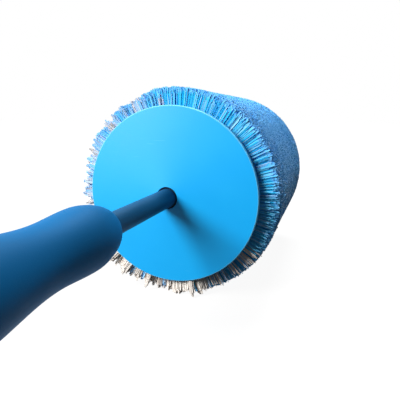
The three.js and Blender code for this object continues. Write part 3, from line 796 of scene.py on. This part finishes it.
# rows beside the disc: fine tufts and hairs that splay towards it, and worn tufts at the left and the bottom
def plantEdge(material, node, station, pitch):
    depth = bristles["edgeRows"] * pitch
    bm, finishPiece = newBristles("bristleFringe", material, node)
    fresh = lambda turn: 1 - wornShare(turn)
    for row in range(bristles["fineRows"]):
        share = (row + 0.5) / bristles["fineRows"]
        root = (rootRadius, share * pitch)
        tip = (bristles["tip"], share * pitch - bristles["fineSplay"] * (1 - share))
        offset = row * bristles["fineShift"]
        plantRow(bm, fineTuft, station, root, tip, bristles["fineAround"], offset, fresh, pressed)
    tip = (bristles["tip"], -bristles["fineSplay"] - bristles["hairGap"])
    hairPush = lambda turn: bristles["hairPress"] * pressed(turn)
    plantRow(bm, hairKind, station, (rootRadius, 0), tip, bristles["hairAround"], 0, fresh, hairPush)
    for row in range(1, bristles["edgeRows"]):
        root = (rootRadius, (row + 0.5) * pitch)
        tip = (bristles["tip"], root[1])
        plantRow(bm, fuzzTuft, station, root, tip, bristles["around"], row / 2, fresh, pressed)
    # a shorter pale bed fills the gaps among the worn tufts
    for row, bed in enumerate(bristles["wornBeds"]):
        root = (rootRadius, (row + 0.5) * pitch)
        tip = (bristles["tip"] - bed, root[1])
        plantRow(bm, bedKind, station, root, tip, bristles["around"], row / 2, wornShare)
    finishPiece()
    bm, finishPiece = newBristles("bristleWorn", material, node)
    for row in range(bristles["wornRows"]):
        share = (row + 0.5) / bristles["wornRows"]
        radius = bristles["tip"] + bristles["wornReach"] - bristles["wornStep"] * row
        root = (rootRadius, share * depth)
        tip = (radius, share * depth - bristles["wornSplay"] * (1 - share))
        offset = row / bristles["wornRows"]
        plantRow(bm, wornKind, station, root, tip, bristles["wornAround"], offset, wornShare)
    finishPiece()


def plantRing(ring, material, backing):
    node = f"tuft_ring_{ring}"
    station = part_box(node)[0][1]
    ringWidth = (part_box("tuft_ring_1")[1][1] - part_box("tuft_ring_1")[0][1]) / mm
    pitch = ringWidth / bristles["rowsPerRing"]
    bm, finishPiece = newBristles(f"bristleRing{ring}", material, node)
    first = bristles["edgeRows"] if ring == 1 else 0
    for row in range(first, bristles["rowsPerRing"]):
        place = (row + 0.5) * pitch
        kind = bodyTuft
        if first:
            # rough tufts beside the fringe give way to smooth ones
            rough = 1 - (row - first + 0.5) / bristles["fuzzRows"]
            kind = lambda turn: fuzzTuft if drawLots.random() < rough else bodyTuft
        tip = (bristles["tip"], place)
        plantRow(bm, kind, station, (rootRadius, place), tip, bristles["around"], row % 2 / 2)
    finishPiece()
    if first:
        plantEdge(material, node, station, pitch)
    collar = [
        (backingBlock["bore"], 0, backingBlock["boreRound"]),
        (bristles["root"], 0, backingBlock["endRound"]),
        (bristles["root"], ringWidth, backingBlock["endRound"]),
        (backingBlock["bore"], ringWidth, backingBlock["boreRound"]),
    ]
    bm = spinOutline(collar, backingBlock["steps"], station)
    newPiece(f"ringBacking{ring}", bm, backing, [node])
    print("bristle ring", ring, "planted")


def plantNose(material, backing):
    frontPlace = (bristleFront - noseStart) / mm
    noseBack = (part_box("nose_plug")[1][1] - noseStart) / mm
    bm, finishPiece = newBristles("bristleNoseSide", material, "tuft_nose")
    for row in range(bristles["straightRows"]):
        place = (row + 0.5) * bristles["straight"] / bristles["straightRows"]
        tip = (bristles["tip"], place)
        plantRow(bm, bodyTuft, noseStart, (rootRadius, place), tip, bristles["around"], row % 2 / 2)
    total = (
        frontPlace - bristles["edgeRound"] - bristles["straight"] + bristles["edgeRound"] * math.pi / 2
        + bristles["tip"] - bristles["edgeRound"] - bristles["noseGap"]
    )
    rows = round(total / bristles["tipPitch"])
    noseSplits = {
        rows // bristles["edgePart"]: "bristleNoseEdge", rows // bristles["frontPart"]: "bristleNoseFront",
    }
    for row in range(rows):
        share = (row + 0.5) / rows
        if row in noseSplits:
            trimNose(bm)
            finishPiece()
            bm, finishPiece = newBristles(noseSplits[row], material, "tuft_nose")
        root = domeOutline(share * math.radians(bristles["domeTurn"]), noseBack, bristles["rootSink"])
        tip = noseOutline(share * total, frontPlace)
        count = max(bristles["leastTufts"], round(math.tau * tip[0] / bristles["tipPitch"]))
        plantRow(bm, noseTuft, noseStart, root, tip, count, row % 2 / 2)
    trimNose(bm)
    finishPiece()
    dome = [
        (0, backingBlock["socketEnd"], 0), (backingBlock["bore"], backingBlock["socketEnd"], 0),
        (backingBlock["bore"], 0, 0), (bristles["root"], 0, 0),
    ]
    for index in range(backingBlock["domeSteps"] + 1):
        turn = index / backingBlock["domeSteps"] * math.pi / 2
        dome.append((*domeOutline(turn, noseBack), 0))
    dome += [
        (backingBlock["plugBore"], noseBack, backingBlock["plugRound"]),
        (backingBlock["plugBore"], backingBlock["plugSeat"], 0), (0, backingBlock["plugSeat"], 0),
    ]
    bm = spinOutline(dome, backingBlock["steps"], noseStart)
    newPiece("noseBacking", bm, backing, ["tuft_nose"])
    print("bristle nose planted")


def makeBristles(backing):
    material = makeFibre()
    kinds = (
        bodyTuft, noseTuft, fuzzTuft, bedTuft, bedCream, fineTuft, hairTuft, hairCream,
        wornBlue, wornCream, wornPale, wornTan, wornBlunt,
    )
    for kind in kinds:
        kind["tufts"] = [makeTuft(kind, variant) for variant in range(bristles["variants"])]
    for ring in (1, 2, 3):
        plantRing(ring, material, backing)
    plantNose(material, backing)
    for kind in kinds:
        for mesh in kind.pop("tufts"):
            bpy.data.meshes.remove(mesh)


# pieces that stay as the CAD made them get a finish of their own

steelLook = {
    "name": "plainSteel",
    "colour": (0.42, 0.44, 0.46), "secondColour": (0.5, 0.52, 0.54),
    "wornColour": (0.7, 0.71, 0.72), "dirtColour": (0.12, 0.11, 0.1),
    "roughness": 0.34, "gloss": 0.08, "grain": 1200.0, "drift": 120.0, "bump": 0.15, "wear": 0.4, "dirt": 0.3,
    "sockets": {"Metallic": 1.0},
}
backingLook = {
    "name": "spindleMoulding",
    "colour": (0.006, 0.2, 0.52), "secondColour": (0.008, 0.23, 0.57),
    "wornColour": (0.05, 0.32, 0.65), "dirtColour": (0.02, 0.08, 0.16),
    "roughness": 0.5, "gloss": 0.05, "grain": 1800.0, "drift": 60.0, "bump": 0.2, "wear": 0.2, "dirt": 0.3,
}


def finishHidden(backing, hard):
    steel = surfaceMaterial(steelLook)[0]
    finishes = {"hub_spindle": backing, "grip_core": hard}
    steelNodes = [
        "nose_washer", "nose_screw", "spindle_pin", "grip_pin",
        "disc_screw_1", "disc_screw_2", "disc_screw_3",
    ]
    finishes.update({node: steel for node in steelNodes})
    for node, material in finishes.items():
        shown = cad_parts[node]
        shown.data.materials.clear()
        shown.data.materials.append(material)
    print("hidden pieces finished")


# studio: pale floor, white surround, a soft key from the upper left, a weak fill and, only for gloss, a card

studio = {
    "floorSize": 6, "floorGrey": (0.07, 0.07, 0.07), "floorLift": (0.94, 1.0), "floorFade": (0.2, 0.7),
    "ambient": 0.055, "ambientTint": (0.94, 0.96, 1.0),
    "keyFrom": (-0.52, -0.64, 0.56), "keyDistance": 1.5, "keySize": 0.8, "keyPower": 38.0,
    "keyTint": (1.0, 0.99, 0.97),
    "fillFrom": (0.05, 0.38, 0.92), "fillDistance": 1.5, "fillSize": 0.5, "fillPower": 22.0,
    "sheenFrom": (-0.7, -0.7, 0.12), "sheenDistance": 1.2, "sheenSize": 0.7, "sheenPower": 6.0,
}
view = {
    "spot": (86.5, -210.7, 45.1), "aim": (-0.3026, 0.931, -0.203), "lens": 36.54, "sensor": 36, "near": 0.005,
}


def makeStudio():
    scene = bpy.context.scene
    scene.view_settings.view_transform = "Standard"
    bm = bmesh.new()
    bmesh.ops.create_grid(bm, x_segments=2, y_segments=2, size=studio["floorSize"])
    mesh = bpy.data.meshes.new("paleFloor")
    bm.to_mesh(mesh)
    bm.free()
    floor = bpy.data.objects.new("paleFloor", mesh)
    scene.collection.objects.link(floor)
    material = bpy.data.materials.new("paleFloor")
    material.use_nodes = True
    tree = material.node_tree
    tree.nodes.clear()
    paint = addNode(tree, "ShaderNodeBsdfDiffuse", (-200, 120))
    paint.inputs["Color"].default_value = (*studio["floorGrey"], 1)
    lift = addNode(tree, "ShaderNodeEmission", (-200, -80))
    both = addNode(tree, "ShaderNodeAddShader", (40, 0))
    out = addNode(tree, "ShaderNodeOutputMaterial", (240, 0))
    # the floor turns to pure white away from the brush and its shadow
    place = addNode(tree, "ShaderNodeTexCoord", (-1100, 120)).outputs["Object"]
    reach = addNode(tree, "ShaderNodeVectorMath", (-900, 120), operation="LENGTH")
    wire(tree, place, reach.inputs[0])
    glow = ramp(tree, reach.outputs["Value"], *studio["floorFade"], *studio["floorLift"], (-700, 120))
    strength = addNode(tree, "ShaderNodeMath", (-400, -120), operation="MULTIPLY")
    wire(tree, addSeen(tree), strength.inputs[0])
    wire(tree, glow, strength.inputs[1])
    wire(tree, strength.outputs[0], lift.inputs["Strength"])
    wire(tree, paint.outputs[0], both.inputs[0])
    wire(tree, lift.outputs[0], both.inputs[1])
    wire(tree, both.outputs[0], out.inputs["Surface"])
    mesh.materials.append(material)

    world = bpy.data.worlds.new("studioWorld")
    scene.world = world
    world.use_nodes = True
    tree = world.node_tree
    tree.nodes.clear()
    dim = addNode(tree, "ShaderNodeBackground", (-200, 120))
    dim.inputs["Color"].default_value = (*studio["ambientTint"], 1)
    dim.inputs["Strength"].default_value = studio["ambient"]
    white = addNode(tree, "ShaderNodeBackground", (-200, -60))
    white.inputs["Color"].default_value = (1, 1, 1, 1)
    choose = addNode(tree, "ShaderNodeMixShader", (40, 0))
    out = addNode(tree, "ShaderNodeOutputWorld", (240, 0))
    wire(tree, addSeen(tree), choose.inputs["Fac"])
    wire(tree, dim.outputs[0], choose.inputs[1])
    wire(tree, white.outputs[0], choose.inputs[2])
    wire(tree, choose.outputs[0], out.inputs["Surface"])

    middle = Vector((0, discBack, axisHeight))
    for name in ("key", "fill", "sheen"):
        lamp = bpy.data.lights.new(name + "Light", "AREA")
        lamp.shape = "DISK"
        lamp.size = studio[name + "Size"]
        lamp.energy = studio[name + "Power"]
        if name == "key":
            lamp.color = studio["keyTint"]
        holder = bpy.data.objects.new(name + "Light", lamp)
        towards = Vector(studio[name + "From"]).normalized()
        holder.location = middle + towards * studio[name + "Distance"]
        holder.rotation_euler = towards.to_track_quat("Z", "Y").to_euler()
        holder.visible_diffuse = name != "sheen"
        scene.collection.objects.link(holder)
    print("floor, world and lights set")


# 1 for rays that end in the picture, in a reflection or through something clear
def addSeen(tree):
    path = addNode(tree, "ShaderNodeLightPath", (-900, -300))
    glossy = addNode(tree, "ShaderNodeMath", (-700, -300), operation="MAXIMUM")
    clear = addNode(tree, "ShaderNodeMath", (-550, -300), operation="MAXIMUM")
    wire(tree, path.outputs["Is Camera Ray"], glossy.inputs[0])
    wire(tree, path.outputs["Is Glossy Ray"], glossy.inputs[1])
    wire(tree, glossy.outputs[0], clear.inputs[0])
    wire(tree, path.outputs["Is Transmission Ray"], clear.inputs[1])
    return clear.outputs[0]


def makeCamera():
    lens = bpy.data.cameras.new("photoCamera")
    lens.lens = view["lens"]
    lens.sensor_width = view["sensor"]
    lens.clip_start = view["near"]
    camera = bpy.data.objects.new("photoCamera", lens)
    rimCentre = Vector((0, discBack + disc["rise"] * mm, axisHeight))
    camera.location = rimCentre + Vector(view["spot"]) * mm
    camera.rotation_euler = Vector(view["aim"]).to_track_quat("-Z", "Y").to_euler()
    bpy.context.scene.collection.objects.link(camera)
    bpy.context.scene.camera = camera
    print("camera set")


makeCamera()
makeDisc()
hard = makeRodAndRings()
makeGrip(hard)
backing = surfaceMaterial(backingLook)[0]
makeBristles(backing)
finishHidden(backing, hard)
makeStudio()
